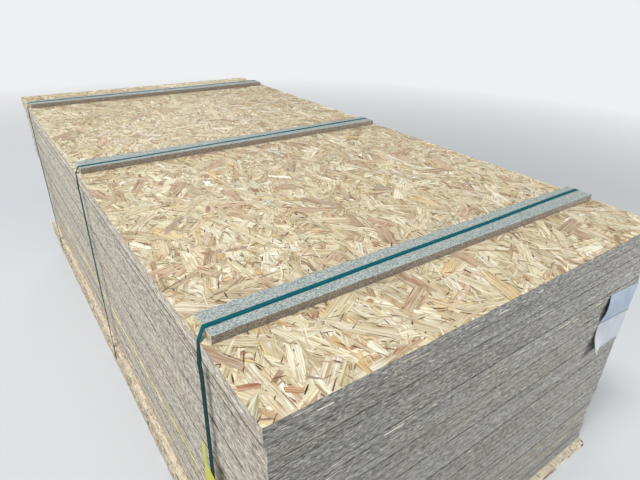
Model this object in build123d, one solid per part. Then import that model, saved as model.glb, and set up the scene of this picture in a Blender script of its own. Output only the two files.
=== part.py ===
from build123d import *

import math
import os

# Strapped pack of OSB panels standing on a few loose panels of the same kind.
# Millimetres. X runs across the panels, Y along them, Z up.
# The origin is the centre of the underside of the lowest panel.
# Panels are counted from the top of the stack down.

panel_width = 1250.0
panel_length = 2500.0
panel_thickness = 22.0

# The stack was laid up in lots. The first four are strapped and the last two lie loose below them.
top_count = 2
upper_count = 12
lower_count = 18
base_count = 3
loose_count = 4
floor_count = 1
# How far each lot has slipped along X and along Y from the panel on the floor.
top_slip = (-11.0, 24.0)
upper_slip = (-3.0, 27.0)
lower_slip = (4.0, 27.0)
base_slip = (-13.0, 24.0)
loose_slip = (-4.0, 22.0)
floor_slip = (0.0, 0.0)
# Within a lot each panel slips a little more. The two turns set the pattern, in radians a panel.
panel_slip = 0.8
slip_turn_x = 2.4
slip_turn_y = 1.7

batten_length = 1218.0
batten_width = 78.0
batten_thickness = 18.0

# A batten lies across the top panel. Each one is its distance from the panel's front edge,
# its setback from the panel's left edge and its skew in degrees.
near_batten = (238.0, 16.0, -0.6)
middle_batten = (1231.0, 12.0, 0.0)
far_batten = (2252.0, 10.0, 0.3)

strap_width = 13.0
strap_thickness = 0.9
# How far behind its batten's middle line each strap lies at the top panel's left and right edges.
near_strap = (-11.0, 0.0)
middle_strap = (-19.0, 7.0)
far_strap = (2.0, 30.0)

# Straps, label and tag stand this far off the pieces behind them.
seat_gap = 0.3

label_length = 297.0
label_height = 196.0
label_thickness = 0.4
label_slant = 6.5
# The label's middle: its distance left of the corner and below the top panel's face.
label_left = 38.0
label_drop = 296.0
label_flat = 60.0
label_curl_radius = 420.0
label_corner_radius = 1.0

tag_thickness = 0.6
tag_width = 58.0
tag_body_height = 105.0
tag_tail_width = 18.0
tag_tail_height = 62.0
tag_drop = 283.0
tag_overhang = 24.0


def lay_up(lots, top):
    """Place panels downwards from height top: a list of (left, front, bottom) corners."""
    places = []
    bottom = top
    for count, (slip_x, slip_y) in lots:
        for step in range(count):
            bottom -= panel_thickness
            left = slip_x + panel_slip * math.sin(slip_turn_x * step) - panel_width / 2
            front = slip_y + panel_slip * math.sin(slip_turn_y * step) - panel_length / 2
            places.append((left, front, bottom))
    return places


def panel_solid(place):
    """One panel, given its left, front and bottom corner."""
    left, front, bottom = place
    blank = Box(panel_width, panel_length, panel_thickness, align=(Align.MIN, Align.MIN, Align.MIN))
    return Pos(left, front, bottom) * blank


def batten_solid(batten, deck, deck_height):
    """A particleboard strip lying across the top panel."""
    from_front, setback, skew = batten
    left, front, _ = deck
    centre_x = left + setback + batten_length / 2
    centre_y = front + from_front
    strip = Box(batten_length, batten_width, batten_thickness)
    return Pos(centre_x, centre_y, deck_height + batten_thickness / 2) * Rot(0, 0, skew) * strip


def turn(a, b, c):
    """Twice the area of the triangle a, b, c: positive where the path turns left."""
    return (b[0] - a[0]) * (c[1] - a[1]) - (b[1] - a[1]) * (c[0] - a[0])


def convex_hull(corners):
    """The outermost corners, in order."""
    ordered = sorted(set(corners))
    hull = []
    for run in (ordered, ordered[::-1]):
        side = []
        for corner in run:
            while len(side) > 1 and turn(side[-2], side[-1], corner) <= 0:
                side.pop()
            side.append(corner)
        hull += side[:-1]
    return hull


def taut_loop(corners):
    """The corners that a tight strap bends at, in order round the pack."""
    loop = convex_hull(corners)
    for corner in list(loop):
        place = loop.index(corner)
        before = loop[place - 1]
        after = loop[(place + 1) % len(loop)]
        if turn(before, corner, after) < seat_gap / 2 * math.dist(before, after):
            loop.remove(corner)
    return loop


def strap_solid(ends, strip, packed):
    """A strap pulled tight round the packed panels and over a batten, between its left and right ends."""
    box = strip.bounding_box()
    corners = [(box.min.X - seat_gap, box.max.Z), (box.max.X + seat_gap, box.max.Z)]
    for left, _, bottom in packed:
        for x in (left - seat_gap, left + panel_width + seat_gap):
            corners += [(x, bottom), (x, bottom + panel_thickness)]
    inner = Plane.XZ * make_face(Polyline(*taut_loop(corners), close=True))
    ring = offset(inner, amount=strap_thickness, kind=Kind.INTERSECTION) - inner

    left_y, right_y = ends
    middle_y = (left_y + right_y) / 2
    hoop = Pos(0, middle_y, 0) * extrude(ring, amount=abs(right_y - left_y) + strap_width, both=True)
    skew = math.degrees(math.atan2(right_y - left_y, panel_width))
    pack_height = box.max.Z - packed[-1][2]
    band = Box(2 * panel_width, strap_width, 2 * pack_height)
    centre = Pos(packed[0][0] + panel_width / 2, middle_y, packed[-1][2] + pack_height / 2)
    return hoop & (centre * Rot(0, 0, skew) * band)


def label_line(side_x, face_y, depth):
    """The label's path round the corner seen from above, depth behind its face, longer than the label."""
    corner = FilletPolyline(
        (side_x - depth, face_y + label_length),
        (side_x - depth, face_y + depth),
        (side_x - label_flat, face_y + depth),
        radius=label_corner_radius + label_thickness - depth,
    )
    curl_turn = math.degrees((label_length - label_flat) / label_curl_radius)
    curl_radius = label_curl_radius + depth
    curl = JernArc(start=corner @ 1, tangent=(-1, 0), radius=curl_radius, arc_size=curl_turn)
    return corner + curl


def label_solid(packed, deck_height):
    """A paper sheet wrapped at a slant round the right front corner, its left end curling off."""
    middle = deck_height - label_drop
    reach = math.hypot(label_length, label_height) / 2
    covered = [place for place in packed if abs(place[2] - middle) < reach]
    face_y = min(place[1] for place in covered) - seat_gap - label_thickness
    side_x = max(place[0] for place in covered) + panel_width + seat_gap + label_thickness

    face = label_line(side_x, face_y, 0)
    back = label_line(side_x, face_y, label_thickness)
    ends = Line(face @ 0, back @ 0) + Line(face @ 1, back @ 1)
    strip = make_face(face.edges() + back.edges() + ends.edges())
    sheet = Pos(0, 0, middle - reach) * extrude(strip, amount=2 * reach)

    # Unrolled, the sheet is a slanted rectangle. The plane across the corner sees both faces
    # at 45 degrees, so lengths along them shrink by the same ratio in it.
    shrink = math.sqrt(0.5)
    unrolled = Pos(-label_left, 0) * Rot(0, 0, -label_slant) * Rectangle(label_length, label_height)
    across = Plane(origin=(side_x, face_y, middle), x_dir=(1, 1, 0), z_dir=(1, -1, 0))
    cutter = across * extrude(scale(unrolled, (shrink, 1, 1)), amount=panel_width, both=True)
    return sheet & cutter


def tag_solid(strap, strap_y, deck_height):
    """A plastic tag hanging on the left run of a strap, with a narrow tail beside the strap."""
    top = deck_height - tag_drop
    shoulder = top - tag_tail_height
    bottom = shoulder - tag_body_height
    beside = strap & Pos(0, 0, (top + bottom) / 2) * Box(2 * panel_width, 2 * panel_length, top - bottom)
    outer_x = beside.bounding_box().min.X - seat_gap
    right = strap_y - tag_overhang
    left = right + tag_width
    outline = Polyline(
        (left, top),
        (left - tag_tail_width, top),
        (left - tag_tail_width, shoulder + tag_tail_width / 2),
        (right, shoulder),
        (right, bottom),
        (left, bottom),
        close=True,
    )
    plate = extrude(Plane.YZ * make_face(outline), amount=tag_thickness)
    return Pos(outer_x - tag_thickness, 0, 0) * plate


def write_part(name, solid):
    """Write one piece, named after its node."""
    export_step(solid, f"parts/{name}.step")


def build():
    """Make every piece and write it."""
    os.makedirs("parts", exist_ok=True)
    packed_lots = [
        (top_count, top_slip),
        (upper_count, upper_slip),
        (lower_count, lower_slip),
        (base_count, base_slip),
    ]
    loose_lots = [(loose_count, loose_slip), (floor_count, floor_slip)]
    packed_number = sum(count for count, _ in packed_lots)
    loose_number = sum(count for count, _ in loose_lots)
    loose_top = loose_number * panel_thickness
    deck_height = loose_top + strap_thickness + packed_number * panel_thickness
    packed = lay_up(packed_lots, deck_height)
    loose = lay_up(loose_lots, loose_top)
    deck = packed[0]

    for number, place in enumerate(packed + loose, start=1):
        write_part(f"panel_{number:02d}", panel_solid(place))

    rows = {
        "near": (near_batten, near_strap),
        "middle": (middle_batten, middle_strap),
        "far": (far_batten, far_strap),
    }
    for where, (batten, behind) in rows.items():
        strip = batten_solid(batten, deck, deck_height)
        ends = [deck[1] + batten[0] + distance for distance in behind]
        strap = strap_solid(ends, strip, packed)
        write_part(f"batten_{where}", strip)
        write_part(f"strap_{where}", strap)
        if where == "near":
            write_part("strap_tag", tag_solid(strap, ends[0], deck_height))

    write_part("label_sheet", label_solid(packed, deck_height))


build()
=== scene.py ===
import math

import bpy
import numpy as np
from mathutils import Matrix, Vector


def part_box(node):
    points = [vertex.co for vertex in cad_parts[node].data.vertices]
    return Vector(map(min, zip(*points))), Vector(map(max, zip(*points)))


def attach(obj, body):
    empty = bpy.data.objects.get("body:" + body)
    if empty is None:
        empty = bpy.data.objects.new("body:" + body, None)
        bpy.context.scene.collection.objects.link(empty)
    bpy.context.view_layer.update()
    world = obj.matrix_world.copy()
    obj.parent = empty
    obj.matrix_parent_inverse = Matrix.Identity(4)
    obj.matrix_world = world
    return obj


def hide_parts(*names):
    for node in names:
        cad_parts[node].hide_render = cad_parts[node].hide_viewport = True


# Lengths are in millimetres until a mesh is made, and the model's frame is the CAD model's own.
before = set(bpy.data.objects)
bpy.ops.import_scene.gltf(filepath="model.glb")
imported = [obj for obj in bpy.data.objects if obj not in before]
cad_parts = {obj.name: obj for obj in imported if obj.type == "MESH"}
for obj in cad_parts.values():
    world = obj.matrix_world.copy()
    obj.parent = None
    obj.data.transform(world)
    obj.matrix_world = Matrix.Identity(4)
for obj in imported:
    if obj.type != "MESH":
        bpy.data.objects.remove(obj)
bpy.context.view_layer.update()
scene = bpy.context.scene
MM = 0.001
rng = np.random.default_rng(41)

PANELS = [f"panel_{number:02d}" for number in range(1, 41)]
PACKED = PANELS[:35]
COARSE = {"panel_33", "panel_34", "panel_35", "panel_40"}
# Panels whose top face shows, if only as a ledge beside the panel above. The others' tops take the darker
# end material, as painted shade where slivers of them show in the joints.
LEDGES = {"panel_01", "panel_03", "panel_15", "panel_33", "panel_36", "panel_40"}

# A board's sides, counterclockwise. A corner has the number of the side that starts there.
FRONT, RIGHT, BACK, LEFT = range(4)
OUTWARD = np.array([(0, -1), (1, 0), (0, 1), (-1, 0)])


def box(name):
    """A CAD node's lowest and highest corner in millimetres."""
    low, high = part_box(name)
    return np.array(low) / MM, np.array(high) / MM


# The top panel's corners.
DECK_LOW, DECK_HIGH = box("panel_01")


def node(tree, kind, inputs=None, **settings):
    """A shader node. Each input is a socket or a value."""
    made = tree.nodes.new("ShaderNode" + kind)
    for name, value in settings.items():
        setattr(made, name, value)
    for key, value in (inputs or {}).items():
        if isinstance(value, bpy.types.NodeSocket):
            tree.links.new(value, made.inputs[key])
        else:
            made.inputs[key].default_value = value
    return made


def calc(tree, operation, a, b=0.0, c=0.0):
    """The result of one sum."""
    return node(tree, "Math", {0: a, 1: b, 2: c}, operation=operation).outputs[0]


def times(tree, a, b):
    """The product of two values."""
    return calc(tree, "MULTIPLY", a, b)


def span(tree, value, low, high, out_low=0.0, out_high=1.0):
    """A value mapped from one span to another and clamped."""
    inputs = {"Value": value, "From Min": low, "From Max": high, "To Min": out_low, "To Max": out_high}
    return node(tree, "MapRange", inputs).outputs[0]


def blend(tree, kind, factor, a, b):
    """Two colours mixed."""
    return node(tree, "Mix", {0: factor, 6: a, 7: b}, data_type="RGBA", blend_type=kind).outputs[2]


def ramp(tree, factor, stops):
    """A colour ramp through stops, each a place and its screen colour."""
    made = node(tree, "ValToRGB", {0: factor})
    band = made.color_ramp
    while len(band.elements) < len(stops):
        band.elements.new(0.5)
    for element, (place, *colour) in zip(band.elements, stops):
        element.position = place
        element.color = srgb(*colour)
    return made.outputs[0]


def join(tree, x, y, z=0.0):
    """A place from its coordinates."""
    return node(tree, "CombineXYZ", {0: x, 1: y, 2: z}).outputs[0]


def split(tree, place):
    """A place's three coordinates."""
    return node(tree, "SeparateXYZ", {0: place}).outputs


def object_place(tree):
    """Places in the model's frame, in metres."""
    return node(tree, "TexCoord").outputs["Object"]


def uv_place(tree, name):
    """Places in one of the mesh's UV layers."""
    return split(tree, node(tree, "UVMap", uv_map=name).outputs[0])


def mark(tree, name):
    """A value stored on the mesh's points."""
    return node(tree, "Attribute", attribute_name=name).outputs["Fac"]


def cloud(tree, place, scale, detail):
    """Smooth noise."""
    return node(tree, "TexNoise", {"Vector": place, "Scale": scale, "Detail": detail}).outputs[0]


def cells(tree, place, dimensions="3D"):
    """Three random values for each cell of a pattern with cells one unit wide."""
    pattern = node(tree, "TexVoronoi", {"Vector": place, "Scale": 1.0}, voronoi_dimensions=dimensions)
    return node(tree, "SeparateColor", {0: pattern.outputs["Color"]}).outputs


def scaled(tree, scale, turn=0.0):
    """Places in the model's frame, turned about Z and scaled along each axis."""
    inputs = {"Vector": object_place(tree), "Rotation": (0, 0, turn), "Scale": scale}
    return node(tree, "Mapping", inputs).outputs[0]


def srgb(r, g, b):
    """A colour written as 0-255 screen values, in the linear values that nodes take."""
    values = []
    for value in (r, g, b):
        share = value / 255
        values.append(share / 12.92 if share <= 0.04045 else ((share + 0.055) / 1.055) ** 2.4)
    return (*values, 1.0)


def new_material(name, roughness, specular=0.4):
    """A material with a plain Principled shader."""
    material = bpy.data.materials.new(name)
    material.use_nodes = True
    tree = material.node_tree
    shader = tree.nodes["Principled BSDF"]
    shader.inputs["Roughness"].default_value = roughness
    shader.inputs["Specular IOR Level"].default_value = specular
    return material, tree, shader


def finish_material(tree, shader, colour, height, depth):
    """Link the colour and the bump, whose depth is in metres."""
    tree.links.new(colour, shader.inputs["Base Color"])
    bump = node(tree, "Bump", {"Height": height, "Distance": depth, "Strength": 0.6})
    tree.links.new(bump.outputs[0], shader.inputs["Normal"])


def edge_material(name, shades, length, height, seam_depth, mottling=(1.3, 70.0, 0.3)):
    """A sawn edge: fine layers, dark slots and pale specks among them, and seams at the arrises: dark
    joints, painted shadow under overhanging boards, and light bands.

    Its layers are about length by height in millimetres. mottling is how flat its patches are,
    how fine and how strong.
    """
    material, tree, shader = new_material(name, 0.85, 0.2)
    x, y, up = split(tree, object_place(tree))
    along = calc(tree, "ADD", x, y)
    board = mark(tree, "board")

    def noise(stretch, scale, detail):
        place = join(tree, along, times(tree, up, stretch), board)
        return cloud(tree, place, scale, detail)

    def layers(longer, higher):
        shift = times(tree, board, 7.31)
        u = calc(tree, "MULTIPLY_ADD", along, 1000 / (length * longer), shift)
        v = times(tree, up, 1000 / (height * higher))
        return cells(tree, join(tree, u, v), "2D")[0]

    up = calc(tree, "MULTIPLY_ADD", noise(1.0, 9.0, 2.0), 0.0006, up)
    large, small = layers(1.0, 1.0), layers(0.45, 0.6)
    slots, specks = layers(1.3, 0.9), layers(0.55, 0.95)
    mixed = calc(tree, "MULTIPLY_ADD", large, 0.5, times(tree, small, 0.5))
    broad = noise(12.0, 2.2, 3.0)
    mixed = calc(tree, "ADD", mixed, span(tree, broad, 0.3, 0.7, -0.12, 0.12))
    flat, fine, strong = mottling
    mixed = calc(tree, "ADD", mixed, span(tree, noise(flat, fine, 2.0), 0.3, 0.7, -strong, strong))
    colour = ramp(tree, mixed, shades)
    hue = noise(3.0, 3.1, 2.0)
    colour = blend(tree, "MULTIPLY", span(tree, hue, 0.5, 0.7, 0.0, 0.9), colour, (1.0, 0.97, 0.88, 1))
    slot = span(tree, slots, 0.9, 0.93)
    colour = blend(tree, "MULTIPLY", times(tree, slot, 0.6), colour, (0.3, 0.26, 0.22, 1))
    speck = times(tree, span(tree, specks, 0.955, 0.965), 0.55)
    colour = blend(tree, "MIX", speck, colour, srgb(226, 222, 208))
    seam = mark(tree, "seam")
    broken = span(tree, noise(1.0, 40.0, 4.0), 0.36, 0.6, 0.45, 1.0)
    dark = times(tree, span(tree, seam, 0.05, -0.95, 0.0, seam_depth), broken)
    # Seams past -1.1 add painted shadow along the arris, as under an overhanging board, darkest at -1.9.
    dark = calc(tree, "MAXIMUM", dark, span(tree, seam, -1.1, -1.9, 0.0, 0.85))
    colour = blend(tree, "MULTIPLY", dark, colour, (0.17, 0.14, 0.11, 1))
    light = times(tree, span(tree, seam, 0.1, 0.9), broken)
    colour = blend(tree, "MIX", light, colour, srgb(232, 226, 206))
    height_map = calc(tree, "SUBTRACT", mixed, times(tree, slot, 0.8))
    finish_material(tree, shader, colour, height_map, 0.0004)
    return material


def strand_material():
    """Wood strands: each has its own tone, with fine grain along it."""
    material, tree, shader = new_material("strand", 0.62, 0.35)
    tone = node(tree, "Attribute", attribute_name="tone").outputs["Color"]
    u, v, _ = uv_place(tree, "grain")

    def streak(along, across, detail):
        place = join(tree, times(tree, u, along), times(tree, v, across))
        inputs = {"Vector": place, "Scale": 1.0, "Detail": detail, "Roughness": 0.6}
        return node(tree, "TexNoise", inputs, noise_dimensions="2D").outputs[0]

    coarse = streak(9.0, 260.0, 3.0)
    fine = streak(22.0, 900.0, 2.0)
    rings = calc(tree, "ADD", times(tree, coarse, 0.6), times(tree, fine, 0.4))
    patch = streak(14.0, 60.0, 2.0)
    colour = blend(tree, "MULTIPLY", span(tree, rings, 0.47, 0.66, 0.0, 0.9), tone, srgb(190, 162, 126))
    colour = blend(tree, "MULTIPLY", span(tree, patch, 0.5, 0.72, 0.0, 0.75), colour, srgb(200, 178, 146))
    colour = blend(tree, "SCREEN", span(tree, rings, 0.48, 0.36, 0.0, 0.5), colour, srgb(150, 144, 128))
    finish_material(tree, shader, colour, rings, 0.0003)
    return material


def face_material():
    """The pressed face of a panel where no strands are modelled: long cells in several directions."""
    material, tree, shader = new_material("osb_face", 0.7, 0.3)
    colour, height = None, None
    for turn, length, width in FACE_CELLS:
        shade, raised, shown = cells(tree, scaled(tree, (1 / length, 1 / width, 1.0), turn), "2D")
        shade = ramp(tree, shade, FACE_SHADES)
        if colour is None:
            colour, height = shade, raised
            continue
        chosen = span(tree, shown, 0.55, 0.57)
        colour = blend(tree, "MIX", chosen, colour, shade)
        height = calc(tree, "MULTIPLY_ADD", chosen, 0.4, height)
    finish_material(tree, shader, colour, height, 0.0004)
    return material


def chip_material(name, shades, chip, tints):
    """Chips of that size in millimetres and half of it, of mixed shades, tinted from green to pink."""
    material, tree, shader = new_material(name, 0.8, 0.3)
    large, hue, _ = cells(tree, scaled(tree, tuple(1000 / side for side in chip)))
    small = cells(tree, scaled(tree, tuple(2000 / side for side in chip)))[0]
    mixed = calc(tree, "MULTIPLY_ADD", large, 0.6, times(tree, small, 0.4))
    colour = ramp(tree, mixed, shades)
    colour = blend(tree, "MULTIPLY", tints, colour, ramp(tree, hue, GREEN_TO_PINK))
    finish_material(tree, shader, colour, mixed, 0.0004)
    return material


# Each layer of cells on a pressed face: its turn in radians, and its cells' length and width in metres.
FACE_CELLS = ((1.5, 0.09, 0.02), (0.6, 0.075, 0.016), (2.3, 0.08, 0.014), (1.2, 0.05, 0.008))
FACE_SHADES = [
    (0.0, 150, 112, 84), (0.18, 196, 164, 126), (0.45, 216, 196, 158), (0.75, 228, 212, 178),
    (1.0, 238, 228, 204),
]
EDGE_SHADES = [
    (0.0, 118, 109, 99), (0.3, 156, 148, 136), (0.55, 180, 173, 161), (0.8, 198, 191, 178),
    (1.0, 220, 213, 196),
]
END_SHADES = [
    (0.0, 86, 83, 78), (0.3, 120, 118, 112), (0.55, 143, 141, 136), (0.8, 162, 160, 154),
    (1.0, 192, 189, 180),
]
COARSE_SHADES = [
    (0.0, 112, 96, 80), (0.22, 180, 166, 147), (0.45, 206, 193, 174), (0.62, 214, 201, 176),
    (0.8, 226, 216, 188), (1.0, 240, 234, 212),
]
CHIP_TOP_SHADES = [
    (0.0, 84, 87, 84), (0.25, 128, 136, 133), (0.5, 155, 163, 160), (0.75, 178, 185, 181),
    (1.0, 216, 219, 212),
]
CHIP_SIDE_SHADES = [
    (0.0, 70, 62, 56), (0.3, 108, 99, 89), (0.55, 134, 124, 112), (0.8, 158, 147, 133),
    (1.0, 192, 181, 162),
]
# The batten ends are paler than their sides, partly as painted light from the left.
CHIP_END_WITH_PAINTED_LIGHT_SHADES = [
    (0.0, 112, 100, 80), (0.3, 170, 158, 130), (0.6, 202, 192, 162), (1.0, 226, 218, 192),
]
GREEN_TO_PINK = [
    (0.0, 176, 214, 176), (0.35, 255, 255, 255), (0.65, 255, 255, 255), (1.0, 232, 190, 186),
]
STRAND = strand_material()
FACE = face_material()
LEDGE = chip_material("osb_ledge", COARSE_SHADES, (3.5, 16.0, 3.5), 0.1)
SIDE = edge_material("osb_side", EDGE_SHADES, 8.0, 1.8, 0.45)
END = edge_material("osb_end", END_SHADES, 9.0, 1.3, 0.9, (3.0, 74.0, 0.26))
COARSE_SIDE = edge_material("osb_coarse_side", COARSE_SHADES, 16.0, 3.6, 0.5)
CHIP_TOP = chip_material("chip_top", CHIP_TOP_SHADES, (2.4, 2.4, 2.4), 0.36)
CHIP_SIDE = chip_material("chip_side", CHIP_SIDE_SHADES, (3.4, 3.4, 1.2), 0.16)
CHIP_END_WITH_PAINTED_LIGHT = chip_material("chip_end_with_painted_light", CHIP_END_WITH_PAINTED_LIGHT_SHADES, (3.4, 3.4, 1.2), 0.16)


def strap_material():
    """Embossed plastic strapping: a fine diamond pattern between two plain margins, with painted shade
    along its edges and on its upright runs.
    """
    material, tree, shader = new_material("strap", 0.5, 0.03)
    along, across, _ = uv_place(tree, "strap")
    diamond_length = 0.0026
    waves = []
    for sign in (1.0, -1.0):
        slant = calc(tree, "MULTIPLY_ADD", across, sign, along)
        waves.append(calc(tree, "SINE", times(tree, slant, 2 * math.pi / diamond_length)))
    from_middle = calc(tree, "ABSOLUTE", across)
    diamonds = times(tree, waves[0], waves[1])
    diamonds = times(tree, diamonds, span(tree, from_middle, 0.0052, 0.0047))
    wear = cloud(tree, object_place(tree), 60.0, 4.0)
    colour = blend(tree, "MIX", span(tree, wear, 0.35, 0.7), srgb(0, 80, 87), srgb(2, 92, 99))
    colour = blend(tree, "MIX", span(tree, diamonds, 0.2, 1.0, 0.0, 0.25), colour, srgb(8, 110, 118))
    # The margins are painted darker, as shade along the strap's edges.
    margins = span(tree, from_middle, 0.002, 0.0035, 0.0, 0.3)
    colour = blend(tree, "MULTIPLY", margins, colour, (0.5, 0.5, 0.5, 1))
    # The upright runs are painted darker and greyer in patches, as shade on faces that turn away from the
    # overhead light.
    facing = split(tree, node(tree, "NewGeometry").outputs["Normal"])[2]
    upright = times(tree, span(tree, facing, 0.7, 0.2), span(tree, wear, 0.3, 0.7, 0.75, 1.0))
    colour = blend(tree, "MIX", upright, colour, srgb(34, 58, 58))
    finish_material(tree, shader, colour, diamonds, 0.0002)
    tree.links.new(span(tree, wear, 0.3, 0.7, 0.4, 0.6), shader.inputs["Roughness"])
    return material


def sheet_material(name, base, shade, roughness, fibre, fold=None):
    """Paper or plastic film with faint mottling. It is darker above its fold, given in metres, and has a
    line of painted shade along the fold.
    """
    material, tree, shader = new_material(name, roughness)
    place = object_place(tree)
    mottle = cloud(tree, place, 24.0, 5.0)
    colour = blend(tree, "MIX", span(tree, mottle, 0.35, 0.75), base, shade)
    height = calc(tree, "MULTIPLY_ADD", mottle, 1.5, cloud(tree, place, fibre, 3.0))
    if fold:
        down = calc(tree, "MULTIPLY_ADD", mottle, 0.006, uv_place(tree, "sheet")[1])
        above = span(tree, down, fold + 0.001, fold - 0.001)
        colour = blend(tree, "MULTIPLY", above, colour, srgb(214, 229, 244))
        # A line along the crease is painted darker, as the shade in the fold.
        crease = span(tree, calc(tree, "ABSOLUTE", calc(tree, "SUBTRACT", down, fold)), 0.0028, 0.001)
        colour = blend(tree, "MULTIPLY", times(tree, crease, 0.8), colour, srgb(136, 146, 160))
    finish_material(tree, shader, colour, height, 0.0003)
    return material


STRAP = strap_material()
PAPER = sheet_material("paper", srgb(172, 174, 178), srgb(156, 160, 168), 0.7, 900.0, 0.098)
FILM = sheet_material("film", srgb(194, 190, 22), srgb(178, 174, 18), 0.4, 300.0)


def new_object(name, data):
    """An object in the scene."""
    made = bpy.data.objects.new(name, data)
    scene.collection.objects.link(made)
    return made


def make_piece(name, points, faces, materials, picks=None):
    """A mesh object from points in millimetres. picks gives each face's material if it has several."""
    mesh = bpy.data.meshes.new(name)
    mesh.from_pydata([tuple(point) for point in np.asarray(points) * MM], [], faces)
    for material in materials:
        mesh.materials.append(material)
    if picks:
        mesh.polygons.foreach_set("material_index", picks)
    mesh.update()
    made = new_object(name, mesh)
    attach(made, "root")
    return made


def set_mark(made, name, values):
    """Store a value on each of a mesh's points."""
    made.data.attributes.new(name, "FLOAT", "POINT").data.foreach_set("value", values.astype(np.float32))


def set_uv(made, name, places):
    """Give each face corner of a mesh its place in a UV layer."""
    made.data.uv_layers.new(name=name).data.foreach_set("uv", np.array(places, np.float32).ravel())


def thin_piece(name, points, faces, material, thickness):
    """A smooth sheet of that thickness in millimetres."""
    made = make_piece(name, points, faces, [material])
    made.data.shade_smooth()
    made.modifiers.new("thickness", "SOLIDIFY").thickness = thickness * MM
    return made


def grid_faces(rows, columns, turned=False):
    """The faces of a grid of points, with their normals turned round if asked."""
    firsts = [row * (columns + 1) + column for row in range(rows) for column in range(columns)]
    second, fourth = (1, columns + 1) if turned else (columns + 1, 1)
    return [(first, first + second, first + columns + 2, first + fourth) for first in firsts]


def wander(count, reach):
    """Smooth noise round a closed line, with spread 1."""
    noise = rng.standard_normal(count)
    kernel = np.hanning(reach + 2)[1:-1]
    wrapped = np.concatenate([noise[-reach:], noise, noise[:reach]])
    smooth = np.convolve(wrapped, kernel / np.sqrt((kernel ** 2).sum()), "same")
    return smooth[reach:-reach]


def perimeter(low, high, spacing):
    """Points round a rectangle, each with its outward normal and its side."""
    corners = np.array([(low[0], low[1]), (high[0], low[1]), (high[0], high[1]), (low[0], high[1])])
    points, normals, sides = [], [], []
    for side in range(4):
        start, end = corners[side], corners[(side + 1) % 4]
        count = int(np.linalg.norm(end - start) / spacing)
        for step in range(count):
            points.append(start + (end - start) * step / count)
            normals.append(OUTWARD[side] if step else OUTWARD[side] + OUTWARD[side - 1])
            sides.append(side)
    return np.array(points), np.array(normals), np.array(sides)


# A board's sides have five rows of points, from the lower arris up. Each is set in so far and so unevenly.
ROW_INSETS = ((0.15, 0.2), (0.0, 0.08), (0.0, 0.08), (0.0, 0.08), (0.6, 0.35))
# How far the rows of a broken corner are set in.
BROKEN_INSETS = {4: 11.0, 3: 8.0}


def side_insets(sides, chips, rough, knocked, broken):
    """How far each point of a board's rows is set in, for wear, chips and knocked corners."""
    count = len(sides)
    inset = np.empty((len(ROW_INSETS), count))
    for row, (base, unevenness) in enumerate(ROW_INSETS):
        inset[row] = base * rough + np.abs(wander(count, 5)) * rough * unevenness
    for _ in range(chips):
        at, width, depth = rng.integers(count), rng.integers(1, 4), rng.uniform(0.6, 2.6) * rough
        row, inner = ((0, 1), (4, 3))[rng.integers(2)]
        for step in range(-width, width + 1):
            share = 1 - abs(step) / (width + 1)
            inset[row, (at + step) % count] += depth * share
            inset[inner, (at + step) % count] += depth * share * 0.45
    for corner in np.flatnonzero(np.diff(sides, prepend=sides[-1])):
        knock = rng.uniform(0.12, 1.0) * knocked * rough
        inset[:, corner] += knock
        inset[4, corner] += knock * rng.uniform(0, 1.5)
        if sides[corner] == broken:
            for step in range(-2, 3):
                for row, depth in BROKEN_INSETS.items():
                    inset[row, (corner + step) % count] += depth * (1 - abs(step) / 3)
    return inset


def slab(
    name, low, high, spacing, chips, rough, side_materials, cap,
    board=0, seams=(-0.4, -0.4), rim=2.0, turn=0.0, knocked=2.5, broken=None,
):
    """A board with sawn edges: its arrises are chipped and its sides uneven, never past its CAD solid.

    side_materials are for its front and back, and for its left and right. seams are the tones along
    its lower and upper arris, from -1 dark to 1 light, which fade out over the height rim; past -1 they
    add painted shadow. Its upright corners are knocked in by up to knocked, and the top of the broken one
    by more.
    """
    points, normals, sides = perimeter(low, high, spacing)
    count = len(points)
    inset = side_insets(sides, chips, rough, knocked, broken)
    tall = high[2] - low[2]
    verts = []
    for row, level in enumerate((0.0, rim, tall / 2, tall - rim, tall)):
        flat = points - normals * inset[row][:, None]
        verts.append(np.c_[flat, np.full(count, low[2] + level)])
    verts = np.concatenate(verts)
    faces, picks = [], []
    for row in range(4):
        for step in range(count):
            a, b = row * count + step, row * count + (step + 1) % count
            faces.append((a, b, b + count, a + count))
            picks.append(1 + sides[step] % 2)
    faces.append(tuple(range(count))[::-1])
    faces.append(tuple(range(4 * count, 5 * count)))
    picks += [0, 0]
    if turn:
        middle = (low[:2] + high[:2]) / 2
        c, s = math.cos(math.radians(turn)), math.sin(math.radians(turn))
        verts[:, :2] = middle + (verts[:, :2] - middle) @ np.array([[c, s], [-s, c]])
    made = make_piece(name, verts, faces, [cap, *side_materials], picks)
    # The strongest seams, the painted shadows under overhanging boards and the light band, are only on the
    # left side.
    seam = np.repeat([[seams[0]], [0], [0], [0], [seams[1]]], count, axis=1)
    seam[:, sides != LEFT] = np.clip(seam[:, sides != LEFT], -0.9, 0.1)
    set_mark(made, "board", np.full(5 * count, board))
    set_mark(made, "seam", seam.ravel())
    return made


# The shares and tones of the top face's strands.
TONES = [
    (0.27, srgb(225, 214, 183)), (0.20, srgb(216, 203, 170)), (0.17, srgb(239, 233, 210)),
    (0.12, srgb(203, 187, 151)), (0.05, srgb(217, 192, 141)), (0.09, srgb(194, 174, 141)),
    (0.06, srgb(180, 157, 127)), (0.04, srgb(199, 193, 167)),
]
TONE_SHARES = np.array([share for share, _ in TONES])
MEAN_TONE = np.average([tone[:3] for _, tone in TONES], axis=0, weights=TONE_SHARES)
PALE = np.array(srgb(239, 233, 210)[:3])
DARK = np.array(srgb(70, 48, 34)[:3])
BROWN = np.array(srgb(158, 124, 100)[:3])
MUTED = np.array(srgb(192, 168, 142)[:3])
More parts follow.
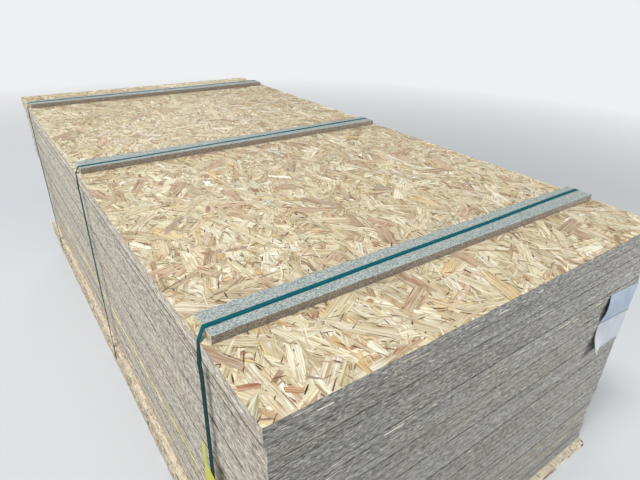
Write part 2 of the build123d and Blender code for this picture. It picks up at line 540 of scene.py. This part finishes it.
# No strand is lighter than this linear value.
LIGHTEST = 0.92


def pick_tone(contrast=1.0):
    """A strand's colour. A lower contrast draws it towards the mean tone."""
    picked = rng.choice(len(TONES), p=TONE_SHARES / TONE_SHARES.sum())
    colour = np.array(TONES[picked][1][:3])
    colour = colour * rng.uniform(0.82, 1.08) * (1 + rng.uniform(-0.03, 0.03, 3))
    return MEAN_TONE * (colour / MEAN_TONE) ** contrast


def outline(length, width):
    """A strand's outline about its centre, along and across the grain. A wide one has pointed ends."""
    half = length / 2
    wide = width > 8
    many = 3 if wide else 2
    along = np.linspace(-half, half, many)
    slant = rng.uniform(-0.7, 0.7, 2) * min(width, length / 3)
    lean = np.zeros(many)
    lean[0], lean[-1] = slant
    bow = rng.uniform(-0.04, 0.04) * length
    arch = bow * (1 - (along / half) ** 2)
    lower = np.c_[along - lean / 2, -width / 2 * rng.uniform(0.75, 1.15, many) + arch]
    upper = np.c_[along + lean / 2, width / 2 * rng.uniform(0.75, 1.15, many) + arch]
    points = []
    for edge, end in ((lower, 1), (upper[::-1], -1)):
        points += list(edge)
        if wide:
            tip = half + rng.uniform(-0.1, 0.3) * width
            points.append(np.array([end * tip, rng.uniform(-0.25, 0.25) * width]))
    return np.array(points)


def sliver(length, width, bow=0.0):
    """A splinter or crack that tapers to both ends and may be bowed."""
    along = np.array([-0.5, rng.uniform(-0.35, -0.1), rng.uniform(0.1, 0.35), 0.5]) * length
    arch = bow * length * (1 - (2 * along / length) ** 2)
    half = width / 2 * np.array([rng.uniform(0, 0.4), 1, rng.uniform(0.5, 1), rng.uniform(0, 0.4)])
    lower, upper = np.c_[along, arch - half], np.c_[along, arch + half]
    return np.concatenate([lower, upper[::-1]])


def clip(points, low, high):
    """A flat polygon cut to a rectangle. Its points may have more values after their place."""
    for axis, limit, sign in ((0, low[0], 1), (0, high[0], -1), (1, low[1], 1), (1, high[1], -1)):
        kept = []
        for index in range(len(points)):
            a, b = points[index - 1], points[index]
            da, db = (a[axis] - limit) * sign, (b[axis] - limit) * sign
            if (da < 0) != (db < 0):
                kept.append(a + (b - a) * da / (da - db))
            if db >= 0:
                kept.append(b)
        points = kept
        if len(points) < 3:
            return None
    return np.array(points)


def heading(turn):
    """The directions along and across a strand."""
    way = np.array([math.cos(turn), math.sin(turn)])
    return way, np.array([-way[1], way[0]])


class Plates:
    """Thin plates of wood with their own tone and grain, gathered into one mesh."""

    def __init__(self):
        self.points, self.faces = [], []
        self.colours, self.grain = [], []

    def add(self, rim, grain, colour, down=None):
        """One plate from its rim's points. Its sides go along down, painted darker than its face as their
        shade.
        """
        count, start = len(rim), len(self.points)
        self.points += list(rim)
        seed = rng.uniform(0, 40, 2)
        uv = [(u * MM + seed[0], v * MM + seed[1]) for u, v in grain]
        self.faces.append(tuple(range(start, start + count)))
        self.colours += [(*colour, 1.0)] * count
        self.grain += uv
        if down is None:
            return
        self.points += [point + down for point in rim]
        # The sides are painted darker than the face, as their shade.
        side = colour * 0.55
        for index in range(count):
            after = (index + 1) % count
            a, b = start + index, start + after
            self.faces.append((a, a + count, b + count, b))
            self.colours += [(*side, 1.0)] * 4
            self.grain += [uv[index], uv[index], uv[after], uv[after]]

    def piece(self, name):
        """The plates as one object."""
        made = make_piece(name, self.points, self.faces, [STRAND])
        tone = made.data.attributes.new("tone", "FLOAT_COLOR", "CORNER")
        tone.data.foreach_set("color", np.array(self.colours, np.float32).ravel())
        set_uv(made, "grain", self.grain)


class Face(Plates):
    """Strands pressed into the top panel's face, each at its own level among those that it crosses.

    The levels are STEP apart, the last is the face, and the strands' sides end DEPTH below it. used
    keeps the levels taken in each square of the face, CELL wide, for all the pieces together.
    """

    LEVELS = 150
    STEP = 0.009
    CELL = 30.0
    DEPTH = 1.4
    PROBE = 12
    used = {}

    def level_for(self, centre, turn, length, width, first, last):
        """A level that no strand nearby uses, between first and last."""
        way, across = heading(turn)
        squares = set()
        for u in np.arange(-length / 2, length / 2 + 8, self.PROBE):
            for v in np.arange(-width / 2, width / 2 + 8, self.PROBE):
                place = centre + way * u + across * v
                squares.add((int(place[0] // self.CELL), int(place[1] // self.CELL)))
        taken = set()
        for x, y in squares:
            for dx in (-1, 0, 1):
                for dy in (-1, 0, 1):
                    taken |= self.used.get((x + dx, y + dy), set())
        free = [level for level in range(first, last) if level not in taken] or list(range(first, last))
        level = int(free[rng.integers(len(free))])
        for square in squares:
            self.used.setdefault(square, set()).add(level)
        return level

    def lay(self, centre, turn, shape, colour, level, walls=True):
        """One strand, cut off at the panel's edges."""
        way, across = heading(turn)
        flat = centre + shape[:, :1] * way + shape[:, 1:] * across
        placed = clip(list(np.c_[flat, shape]), DECK_LOW, DECK_HIGH)
        if placed is None:
            return
        height = DECK_HIGH[2] - (self.LEVELS - level) * self.STEP
        rim = [np.array([x, y, height]) for x, y, _, _ in placed]
        down = np.array([0, 0, DECK_HIGH[2] - self.DEPTH - height]) if walls else None
        self.add(rim, placed[:, 2:], np.minimum(colour, LIGHTEST), down)

    def lay_split(self, centre, turn, length, width, colour, level):
        """A strand, often split along the grain into uneven fingers, and often with a dark crack beside
        it, partly painted shade along its edge.
        """
        way, across = heading(turn)
        fingers = int(rng.integers(2, 5)) if rng.random() < 0.45 else 1
        cuts = np.sort(rng.uniform(-0.35, 0.35, fingers - 1)) * width
        bounds = np.concatenate([[-width / 2], cuts, [width / 2]])
        for finger in range(fingers):
            lower, upper = bounds[finger], bounds[finger + 1]
            wide = max(upper - lower, 1.5)
            long = length * (rng.uniform(0.55, 1.1) if fingers > 1 else 1.0)
            place = centre + across * (lower + upper) / 2 + way * (length - long) * rng.uniform(-0.5, 0.5)
            tint = colour * rng.uniform(0.92, 1.06) if fingers > 1 else colour
            lean = turn + rng.normal(0, 0.02)
            self.lay(place, lean, outline(long, wide * 0.97), tint, level + 0.2 * finger)
        # The crack is a gap painted dark, partly as the shade along the strand's edge.
        if rng.random() < 0.65:
            crack = length * rng.uniform(0.15, 0.5)
            side = rng.choice([-1, 1]) * width * rng.uniform(0.4, 0.54)
            place = centre + across * side + way * (length - crack) * rng.uniform(-0.5, 0.5)
            shape = sliver(crack, rng.uniform(0.9, 3.0))
            lean = turn + rng.normal(0, 0.04)
            self.lay(place, lean, shape, DARK * rng.uniform(0.8, 3.2), level + 0.85, False)


def strand_turn(place):
    """A strand's direction: often along the panel, and more mixed near its front left corner."""
    near = math.exp(-((place[0] - DECK_LOW[0]) + (place[1] - DECK_LOW[1])) / 900)
    if rng.random() < 0.34 + 0.3 * near:
        return rng.uniform(0, math.pi)
    return math.pi / 2 + rng.normal(0, 0.55)


def spread(total):
    """Places spread over the top face, about total of them, in mixed order."""
    columns = int(math.sqrt(total / 2))
    spots = [(i, j) for i in range(columns) for j in range(2 * columns)]
    rng.shuffle(spots)
    for i, j in spots:
        share = (np.array([i, j]) + rng.uniform(0, 1, 2)) / np.array([columns, 2 * columns])
        yield DECK_LOW[:2] + share * (DECK_HIGH[:2] - DECK_LOW[:2])


# The layers of strands: their count, length, width, lowest and highest level, and contrast.
STRAND_PLAN = (
    (1500, (80, 150), (18, 44), 0, 70, 0.75),
    (2300, (35, 110), (7, 22), 30, 108, 1.15),
    (900, (60, 150), (14, 40), 60, 125, 0.65),
)


def lay_strands():
    """Cover the top panel's face with strands."""
    plates = Face()
    for total, lengths, widths, first, last, contrast in STRAND_PLAN:
        for centre in spread(total):
            length, width = rng.uniform(*lengths), rng.uniform(*widths)
            turn = strand_turn(centre)
            level = plates.level_for(centre, turn, length, width, first, last)
            plates.lay_split(centre, turn, length, width, pick_tone(contrast), level)
    plates.piece("panel_01_strands")


def lay_splinters():
    """A few wide dull strands, and splinters, cracks and knotty bits, on top of the others."""
    plates = Face()
    for centre in spread(6200):
        turn = strand_turn(centre)
        kind = rng.random()
        shape, walls = None, False
        if kind < 0.016:
            length, width = rng.uniform(60, 130), rng.uniform(22, 42)
            colour = MUTED * rng.uniform(0.8, 1.15)
        elif kind < 0.4:
            length, width = rng.uniform(12, 60), rng.uniform(1.8, 7)
            shape = outline(length, width)
            colour = pick_tone() * rng.uniform(0.85, 1.1)
            if rng.random() < 0.4:
                shape = sliver(length * 0.7, width * 0.8, rng.normal(0, 0.05))
                colour *= rng.uniform(0.55, 0.85)
        elif kind < 0.47:
            length, width = rng.uniform(25, 80), rng.uniform(1.6, 4.0)
            shape = sliver(length, width, rng.normal(0, 0.07))
            colour = PALE * rng.uniform(0.85, 1.05)
        elif kind < 0.978:
            length, width = rng.uniform(5, 28), rng.uniform(0.9, 3.8)
            shape = sliver(length, width)
            colour = DARK * rng.uniform(0.8, 5.2)
        else:
            length, width = rng.uniform(9, 26) * rng.uniform(0.8, 1.6), rng.uniform(5, 14)
            shape, walls = outline(length, width), True
            colour = BROWN * rng.uniform(0.75, 1.5)
            colour *= np.array([1, rng.uniform(0.94, 1.08), rng.uniform(0.88, 1.12)])
        level = plates.level_for(centre, turn, length, width, 100, Face.LEVELS)
        if shape is None:
            plates.lay_split(centre, turn, length, width, colour, level)
        else:
            plates.lay(centre, turn, shape, colour, level, walls)
    plates.piece("panel_01_splinters")


FLAKE_TONES = [
    srgb(214, 192, 168), srgb(224, 210, 180), srgb(212, 186, 156), srgb(208, 174, 140),
    srgb(228, 212, 156), srgb(196, 170, 150), srgb(236, 230, 208), srgb(190, 166, 144),
]
PALE_TONES = [srgb(226, 220, 196), srgb(214, 204, 178), srgb(236, 232, 216)]
YELLOW_TONES = [srgb(226, 215, 152), srgb(233, 225, 176), srgb(219, 205, 140)]
DARK_FLAKE = srgb(78, 56, 42)
GREY_FLAKE = srgb(86, 78, 70)


def flake(plates, board, side, place, size, colour, out, tilt):
    """One flake on a board's side, at a place along it and up it. It stands out by so much."""
    low, high = board
    length, width = size
    axis = side % 2
    outward = np.array([*OUTWARD[side], 0.0])
    face = (low if side in (FRONT, LEFT) else high)[1 - axis]
    c, s = math.cos(tilt), math.sin(tilt)
    shape = outline(length, width) if length > 5 * width or rng.random() < 0.5 else sliver(length, width)
    order = shape if side in (FRONT, RIGHT) else shape[::-1]
    rim = []
    for u, v in order:
        point = np.zeros(3)
        point[axis] = min(max(place[0] + u * c - v * s, low[axis] + 0.2), high[axis] - 0.2)
        point[1 - axis] = face
        point[2] = min(max(place[1] + u * s + v * c, low[2] + 0.1), high[2] - 0.1)
        rim.append(point + outward * out)
    plates.add(rim, order, np.array(colour[:3]) * rng.uniform(0.85, 1.1), -outward * (out + 0.7))


def side_place(low, high, side):
    """A random place on a side, along it and up it."""
    return rng.uniform(low[side % 2], high[side % 2]), rng.uniform(low[2] + 1, high[2] - 1)


def flake_edges(plates):
    """Flakes along the coarse boards' sides, and stray ones on the others."""
    for name in PANELS:
        low, high = box(name)
        for side in range(4):
            long = high[side % 2] - low[side % 2]
            if name == "panel_40" or name in COARSE and side in (LEFT, RIGHT):
                for _ in range(int(long / 7)):
                    length, width = rng.uniform(8, 34), rng.uniform(1.6, 6.5)
                    tone = FLAKE_TONES[rng.integers(len(FLAKE_TONES))]
                    if rng.random() < 0.16:
                        tone, width = DARK_FLAKE, rng.uniform(1, 3)
                    place = side_place(low, high, side)
                    out = rng.uniform(0.1, 1.0) if rng.random() < 0.9 else rng.uniform(1, 3)
                    tilt = rng.normal(0, 0.14)
                    flake(plates, (low, high), side, place, (length, width), tone, out, tilt)
            else:
                for _ in range(int(long / 130)):
                    size = rng.uniform(8, 42), rng.uniform(0.8, 2.0)
                    tone = PALE_TONES[rng.integers(3)] if rng.random() < 0.45 else GREY_FLAKE
                    place = side_place(low, high, side)
                    flake(plates, (low, high), side, place, size, tone, 0.12, rng.normal(0, 0.03))


# Rows of dashes along a few boards: the board, its side, the row's start and end from the side's front
# or left end, its height as a share of the board's, its dashes, the widest, and its tones.
STREAKS = [
    ("panel_24", LEFT, 480, 1990, 0.5, 110, 26, YELLOW_TONES),
    ("panel_24", LEFT, 60, 480, 0.5, 16, 15, YELLOW_TONES),
    ("panel_24", LEFT, 1990, 2440, 0.5, 16, 15, YELLOW_TONES),
    ("panel_18", LEFT, 560, 700, 0.5, 10, 9, YELLOW_TONES),
    ("panel_27", LEFT, 300, 2300, 0.5, 18, 8, YELLOW_TONES),
    ("panel_30", LEFT, 100, 2400, 0.5, 40, 11, YELLOW_TONES),
    ("panel_31", LEFT, 100, 2400, 0.5, 90, 8, FLAKE_TONES),
    ("panel_32", LEFT, 20, 2480, 0.5, 260, 9, FLAKE_TONES),
    ("panel_02", LEFT, 10, 2490, 0.86, 70, 4, PALE_TONES),
    ("panel_02", LEFT, 10, 2490, 0.4, 30, 3, PALE_TONES),
    ("panel_01", LEFT, 300, 2490, 0.3, 20, 3, PALE_TONES),
    ("panel_02", FRONT, 10, 1240, 0.9, 12, 3, PALE_TONES),
    ("panel_33", FRONT, 900, 1250, 0.85, 14, 3, PALE_TONES),
    ("panel_33", FRONT, 60, 880, 0.85, 14, 3, PALE_TONES),
    ("panel_09", FRONT, 100, 1150, 0.4, 10, 3, PALE_TONES),
    ("panel_21", RIGHT, 300, 1500, 0.4, 20, 5, YELLOW_TONES),
    ("panel_12", BACK, 200, 1000, 0.5, 12, 4, PALE_TONES),
]


def streak_edges(plates):
    """The rows of dashes."""
    for name, side, start, end, share, dashes, widest, tones in STREAKS:
        low, high = box(name)
        for step in range(dashes):
            along = low[side % 2] + start + (end - start) * (step + rng.uniform(0, 0.8)) / dashes
            height = low[2] + (high[2] - low[2]) * share + rng.normal(0, 1.0 + 0.12 * widest)
            size = rng.uniform(12, 56), rng.uniform(0.3, 1.0) * widest
            tone = tones[rng.integers(len(tones))]
            out, tilt = rng.uniform(0.1, 0.5), rng.normal(0, 0.02)
            flake(plates, (low, high), side, (along, height), size, tone, out, tilt)


# The arrises that differ from the rest: their seams' tones and how far these reach. The lower seams of
# panel_02 and panel_14 and the upper seam of panel_03 are painted shadow under an overhanging board;
# panel_02's upper seam is a light band.
SEAMS_AND_PAINTED_SHADOWS = {
    "panel_01": (-0.5, 0.1), "panel_02": (-4.0, 2.4), "panel_03": (-0.5, -2.0), "panel_14": (-3.0, -0.4)
}
RIMS = {"panel_02": 6.0, "panel_14": 5.0}


def dress_panels():
    """Every panel gets its own sawn edges. The top one also gets its strands."""
    for number, name in enumerate(PANELS, start=1):
        low, high = box(name)
        if name == "panel_01":
            high = high - np.array([0, 0, Face.DEPTH])
        made = slab(
            name + "_board", low, high,
            spacing=9.0,
            chips=30,
            rough=1.3 if name in COARSE else 0.6,
            side_materials=(
                COARSE_SIDE if name == "panel_40" else END,
                COARSE_SIDE if name in COARSE else SIDE,
            ),
            # Hidden tops take the darker end material: painted shade in the joints.
            cap=LEDGE if name in COARSE else FACE if name in LEDGES else END,
            board=number % 17,
            seams=SEAMS_AND_PAINTED_SHADOWS.get(name, (-rng.uniform(0.4, 1.3), -rng.uniform(0.3, 1.0))),
            rim=RIMS.get(name, 2.0),
            broken=RIGHT if name == "panel_40" else None,
        )
        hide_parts(name)
    lay_strands()
    lay_splinters()
    plates = Plates()
    flake_edges(plates)
    streak_edges(plates)
    plates.piece("edge_flakes")


BATTEN_SIZE = np.array([1218.0, 78.0, 18.0])
BATTEN_TURNS = {"near": -0.6, "middle": 0.0, "far": 0.3}


def dress_battens():
    """Particleboard strips with crumbled arrises."""
    for where, turn in BATTEN_TURNS.items():
        low, high = box("batten_" + where)
        middle = (low + high) / 2
        made = slab(
            f"batten_{where}_strip", middle - BATTEN_SIZE / 2, middle + BATTEN_SIZE / 2,
            spacing=4.0,
            chips=60,
            rough=0.5,
            # The ends take the paler material, partly as painted light.
            side_materials=(CHIP_SIDE, CHIP_END_WITH_PAINTED_LIGHT),
            cap=CHIP_TOP,
            turn=turn,
            knocked=0.0,
        )
        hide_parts("batten_" + where)


def hull(points):
    """The outermost points, in order, but for those that stand out by less than 0.15."""
    ordered = sorted(map(tuple, points))
    loop = []
    for run in (ordered, ordered[::-1]):
        side = []
        for point in run:
            while len(side) > 1:
                a, b = np.subtract(side[-1], side[-2]), np.subtract(point, side[-2])
                if a[0] * b[1] - a[1] * b[0] > 0.15 * math.hypot(*b):
                    break
                side.pop()
            side.append(point)
        loop += side[:-1]
    return np.array(loop)


def smooth_loop(corners, bend, step):
    """The corners joined by straight runs, with each corner rounded over a length of bend."""

    def beyond(a, b):
        return a + (b - a) / np.linalg.norm(b - a) * bend

    points = []
    for index, corner in enumerate(corners):
        before, after = corners[index - 1], corners[(index + 1) % len(corners)]
        start, end, far = beyond(corner, before), beyond(corner, after), beyond(after, corner)
        for share in np.linspace(0, 1, 6):
            points.append(start * (1 - share) ** 2 + corner * 2 * share * (1 - share) + end * share ** 2)
        parts = int(np.linalg.norm(far - end) / step)
        for part in range(1, parts):
            points.append(end + (far - end) * part / parts)
    return np.array(points)


# How far each strap's left run is turned, in radians, and where it lies from the top panel's front
# edge: down the left side, at that panel's left edge, at the batten's ends, and down the right side.
STRAPS = {
    "near": (0.33, (221.0, 228.0, 238.0, 240.0, 240.0)),
    "middle": (0.2, (1204.0, 1210.0, 1216.0, 1238.0, 1240.0)),
    "far": (0.15, (2250.0, 2253.0, 2256.0, 2283.0, 2285.0)),
}
STRAP_HALF_WIDTH = 6.5
STRAP_STEP = 24.0
# A strap's section: places across it and out from what it lies on.
STRAP_SECTION = np.array([
    (-STRAP_HALF_WIDTH, 0.3), (-6.1, 0.62), (-5.0, 0.78), (0, 0.88), (5.0, 0.78), (6.1, 0.62),
    (STRAP_HALF_WIDTH, 0.3), (5.5, 0.02), (-5.5, 0.02),
])


def strap_path(batten_low, batten_high):
    """A tight line round the pack and over a batten, seen from the front."""
    corners = [(batten_low[0] - 0.2, batten_high[2]), (batten_high[0] + 0.2, batten_high[2])]
    for name in PACKED:
        low, high = box(name)
        corners += [(x, z) for x in (low[0] - 0.3, high[0] + 0.3) for z in (low[2], high[2])]
    return smooth_loop(hull(corners), 2.2, STRAP_STEP)


def dress_strap(where, swing, places):
    """A plastic strap, taut round the pack, with a sharp bend at each corner."""
    low, high = box("batten_" + where)
    path = strap_path(low, high)
    count, many = len(path), len(STRAP_SECTION)
    knots = [DECK_LOW[0] - 4, DECK_LOW[0] + 1, low[0], high[0], DECK_HIGH[0] + 4]
    over = np.interp(path[:, 0], knots, places)
    under = np.interp(path[:, 0], [DECK_LOW[0], DECK_HIGH[0]], [places[0], places[-1]])
    y = np.where(path[:, 1] < DECK_HIGH[2] - 60, under, over)
    y += DECK_LOW[1] + wander(count, 24) * 0.9
    ahead = np.roll(path, -1, 0) - np.roll(path, 1, 0)
    ahead /= np.linalg.norm(ahead, axis=1)[:, None]
    out = np.c_[ahead[:, 1], -ahead[:, 0]]
    twist = wander(count, 30) * 0.035
    # The left run is turned a little, so its near edge touches the boards and its far edge stands off.
    beside = (path[:, 0] < DECK_LOW[0] + 20) & (path[:, 1] < DECK_HIGH[2])
    turned = np.interp(DECK_HIGH[2] - path[:, 1], [0, 50, 420, 700], [0, swing, swing * 0.8, 0])
    turned = np.where(beside, turned, 0.0)
    gone = np.concatenate([[0], np.cumsum(np.linalg.norm(np.diff(path, axis=0), axis=1))])
    points, faces, uv = [], [], []
    for index in range(count):
        c, s = math.cos(twist[index]), math.sin(twist[index])
        lean, rise = math.cos(turned[index]), math.sin(turned[index])
        for across, lift in STRAP_SECTION:
            lift = lift * lean + abs(across * s) * 0.4 + (across + STRAP_HALF_WIDTH) * rise
            x, z = path[index] + out[index] * lift
            points.append((x, y[index] + across * c * lean, z))
        after = (index + 1) % count
        ends = (gone[index], gone[after] if after else gone[index] + STRAP_STEP)
        here, there = index * many, after * many
        for corner in range(many):
            other = (corner + 1) % many
            faces.append((here + corner, here + other, there + other, there + corner))
            for end, at in ((0, corner), (0, other), (1, other), (1, corner)):
                uv.append((ends[end] * MM, STRAP_SECTION[at][0] * MM))
    made = make_piece(f"strap_{where}_band", points, faces, [STRAP])
    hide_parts(f"strap_{where}")
    set_uv(made, "strap", uv)
    made.data.shade_smooth()


LABEL_LENGTH, LABEL_HEIGHT = 297.0, 196.0
LABEL_TURN = math.radians(6.5)
# How far the sheet's top left corner lies left of the pack's corner and below the top face.
LABEL_REACH, LABEL_DROP = 175.0, 182.0
# Its crease below its top edge, and its bend round the pack's corner.
LABEL_CREASE, LABEL_BEND = 95.0, 3.0


def label_place(a, b, face_y, side_x, top):
    """Where the sheet's point goes that is a from its left edge and b below its top edge, laid flat."""
    run = LABEL_REACH - a * math.cos(LABEL_TURN) + b * math.sin(LABEL_TURN)
    z = top - a * math.sin(LABEL_TURN) - b * math.cos(LABEL_TURN)
    free = min(max(run / LABEL_REACH, 0.0), 1.0)
    # It bellies above its crease and flares below it.
    if b < LABEL_CREASE:
        belly = 6.0 * math.sin(math.pi * b / LABEL_CREASE)
    else:
        belly = 8.0 * ((b - LABEL_CREASE) / (LABEL_HEIGHT - LABEL_CREASE)) ** 1.3
    stand = belly * free ** 1.4 + 0.5 * math.sin(a / 17 + b / 23) * free
    # Its lower left corner curls out.
    curl = max(0.0, 1 - math.hypot(a, 1.15 * (LABEL_HEIGHT - b)) / 78)
    stand = max(stand + 15.0 * curl ** 1.6, 0.0)
    run -= 14.0 * curl ** 2
    z -= 6.0 * curl ** 2
    if run > LABEL_BEND:
        return side_x - run, face_y - stand, z
    if run > -LABEL_BEND:
        turn = (LABEL_BEND - run) / (2 * LABEL_BEND) * math.pi / 2
        x = side_x - LABEL_BEND + LABEL_BEND * math.sin(turn)
        return x, face_y + LABEL_BEND - LABEL_BEND * math.cos(turn) - stand, z
    lift = 1.6 * math.sin(min(-run / 110, 1) * math.pi) * (0.4 + 0.6 * math.sin(b / 40) ** 2)
    return side_x + lift, face_y - run, z


def dress_label():
    """A paper sheet wrapped round the pack's corner."""
    columns, rows = 66, 44
    boards = [box(name) for name in PANELS[8:18]]
    face_y = min(low[1] for low, _ in boards) - 0.4
    side_x = max(high[0] for _, high in boards) + 0.4
    top = DECK_HIGH[2] - LABEL_DROP
    points, places = [], []
    for row in range(rows + 1):
        for column in range(columns + 1):
            a, b = LABEL_LENGTH * column / columns, LABEL_HEIGHT * row / rows
            points.append(label_place(a, b, face_y, side_x, top))
            places.append((column / columns * (LABEL_LENGTH * MM), row / rows * (LABEL_HEIGHT * MM)))
    made = thin_piece("label_sheet_paper", points, grid_faces(rows, columns), PAPER, 0.3)
    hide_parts("label_sheet")
    set_uv(made, "sheet", [places[loop.vertex_index] for loop in made.data.loops])


TAG_DROP, TAG_HEIGHT = 283.0, 167.0
# Down the tag: depth below its top, its two edges from the front, and how far it stands off.
TAG_STATIONS = np.array([
    (0, 246, 262, 0.8), (20, 245, 262, 1.6), (46, 244, 262, 2.0), (54, 238, 261, 2.0),
    (62, 203, 260, 1.8), (68, 198, 260, 1.2), (95, 198, 260, 1.8), (120, 199, 259, 3.0),
    (145, 200, 258, 2.6), (167, 201, 257, 1.6),
])


def dress_tag():
    """A plastic tag with a narrow tail, bent over the strap."""
    outer = box("strap_near")[0][0] - 0.5
    top = DECK_HIGH[2] - TAG_DROP
    depths, *stations = TAG_STATIONS.T
    points = []
    rows, columns = 56, 16
    for row in range(rows + 1):
        depth = TAG_HEIGHT * row / rows
        near, far, stand = (np.interp(depth, depths, station) for station in stations)
        for column in range(columns + 1):
            share = column / columns
            y = near + (far - near) * share
            bow = stand + 1.2 * math.sin(share * math.pi) * min(1.0, depth / 60)
            bow += 0.4 * math.sin(depth / 9 + share * 4)
            points.append((outer - max(bow, 0.2), DECK_LOW[1] + y, top - depth))
    made = thin_piece("strap_tag_film", points, grid_faces(rows, columns, True), FILM, 0.5)
    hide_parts("strap_tag")


def set_camera():
    """The photograph's view, fitted to its edges."""
    focal_length, frame_width = 487.775, 640
    lens = bpy.data.cameras.new("camera")
    lens.sensor_width = 36.0
    lens.lens = focal_length / frame_width * lens.sensor_width
    lens.clip_start, lens.clip_end = 0.01, 100
    camera = new_object("camera", lens)
    right = Vector((0.81709844, -0.5759278, 0.02563809))
    up = Vector((0.25289812, 0.39805454, 0.88181354))
    back = Vector((-0.51806629, -0.71404465, 0.4709008))
    turned = Matrix((right, up, back)).transposed().to_4x4()
    camera.matrix_world = Matrix.Translation((-0.859969, -1.662057, 1.446242)) @ turned
    scene.camera = camera


BACKDROP = (0.86, 0.87, 0.88, 1)


def set_floor():
    """A pale floor that fades into the background."""
    reach = 60.0
    corners = [(-reach, -reach, 0), (reach, -reach, 0), (reach, reach, 0), (-reach, reach, 0)]
    mesh = bpy.data.meshes.new("floor")
    mesh.from_pydata(corners, [], [(0, 1, 2, 3)])
    new_object("floor", mesh)
    material, tree, shader = new_material("floor", 0.9, 0.1)
    shader.inputs["Base Color"].default_value = (0.62, 0.63, 0.64, 1)
    place = node(tree, "NewGeometry").outputs["Position"]
    distance = node(tree, "VectorMath", {0: place}, operation="LENGTH").outputs["Value"]
    glow = node(tree, "Emission", {"Color": BACKDROP, "Strength": 1.0})
    far = span(tree, distance, 2.2, 6.5)
    mixed = node(tree, "MixShader", {0: far, 1: shader.outputs[0], 2: glow.outputs[0]})
    tree.links.new(mixed.outputs[0], tree.nodes["Material Output"].inputs[0])
    mesh.materials.append(material)


def set_world():
    """Plain grey light, and a white background where the camera or a reflection sees it."""
    world = bpy.data.worlds.new("world")
    scene.world = world
    world.use_nodes = True
    tree = world.node_tree
    background = tree.nodes["Background"]
    rays = node(tree, "LightPath")
    seen = calc(tree, "MAXIMUM", rays.outputs["Is Camera Ray"], rays.outputs["Is Glossy Ray"])
    seen = calc(tree, "MAXIMUM", seen, rays.outputs["Is Transmission Ray"])
    tree.links.new(blend(tree, "MIX", seen, (0.36, 0.38, 0.4, 1), BACKDROP), background.inputs[0])


def area_light(name, place, aim, size, power, colour, spread=180.0):
    """A soft square lamp. Its light fans out over spread degrees."""
    lamp = bpy.data.lights.new(name, "AREA")
    lamp.size = size
    lamp.energy = power
    lamp.color = colour
    lamp.spread = math.radians(spread)
    made = new_object(name, lamp)
    made.location = place
    made.rotation_euler = (Vector(aim) - Vector(place)).to_track_quat("-Z", "Y").to_euler()


dress_panels()
dress_battens()
for strap_name, (strap_swing, strap_places) in STRAPS.items():
    dress_strap(strap_name, strap_swing, strap_places)
dress_label()
dress_tag()

set_camera()
set_floor()
set_world()
area_light("key", (-2.6, -1.4, 7.0), (0, 0, 0.6), 1.6, 324, (0.975, 0.985, 1.0))
area_light("side", (-5.0, 1.3, 2.7), (-0.6, 0.2, 0.5), 4.5, 156, (0.975, 0.985, 1.0))
area_light("fill", (5.0, -3.9, 1.25), (0.2, -1.0, 0.5), 1.8, 43, (0.96, 0.98, 1.0), 60.0)
area_light("back", (2.2, 6.4, 0.9), (0.0, 1.2, 0.45), 1.6, 16, (0.98, 0.99, 1.0), 60.0)

scene.view_settings.view_transform = "Standard"
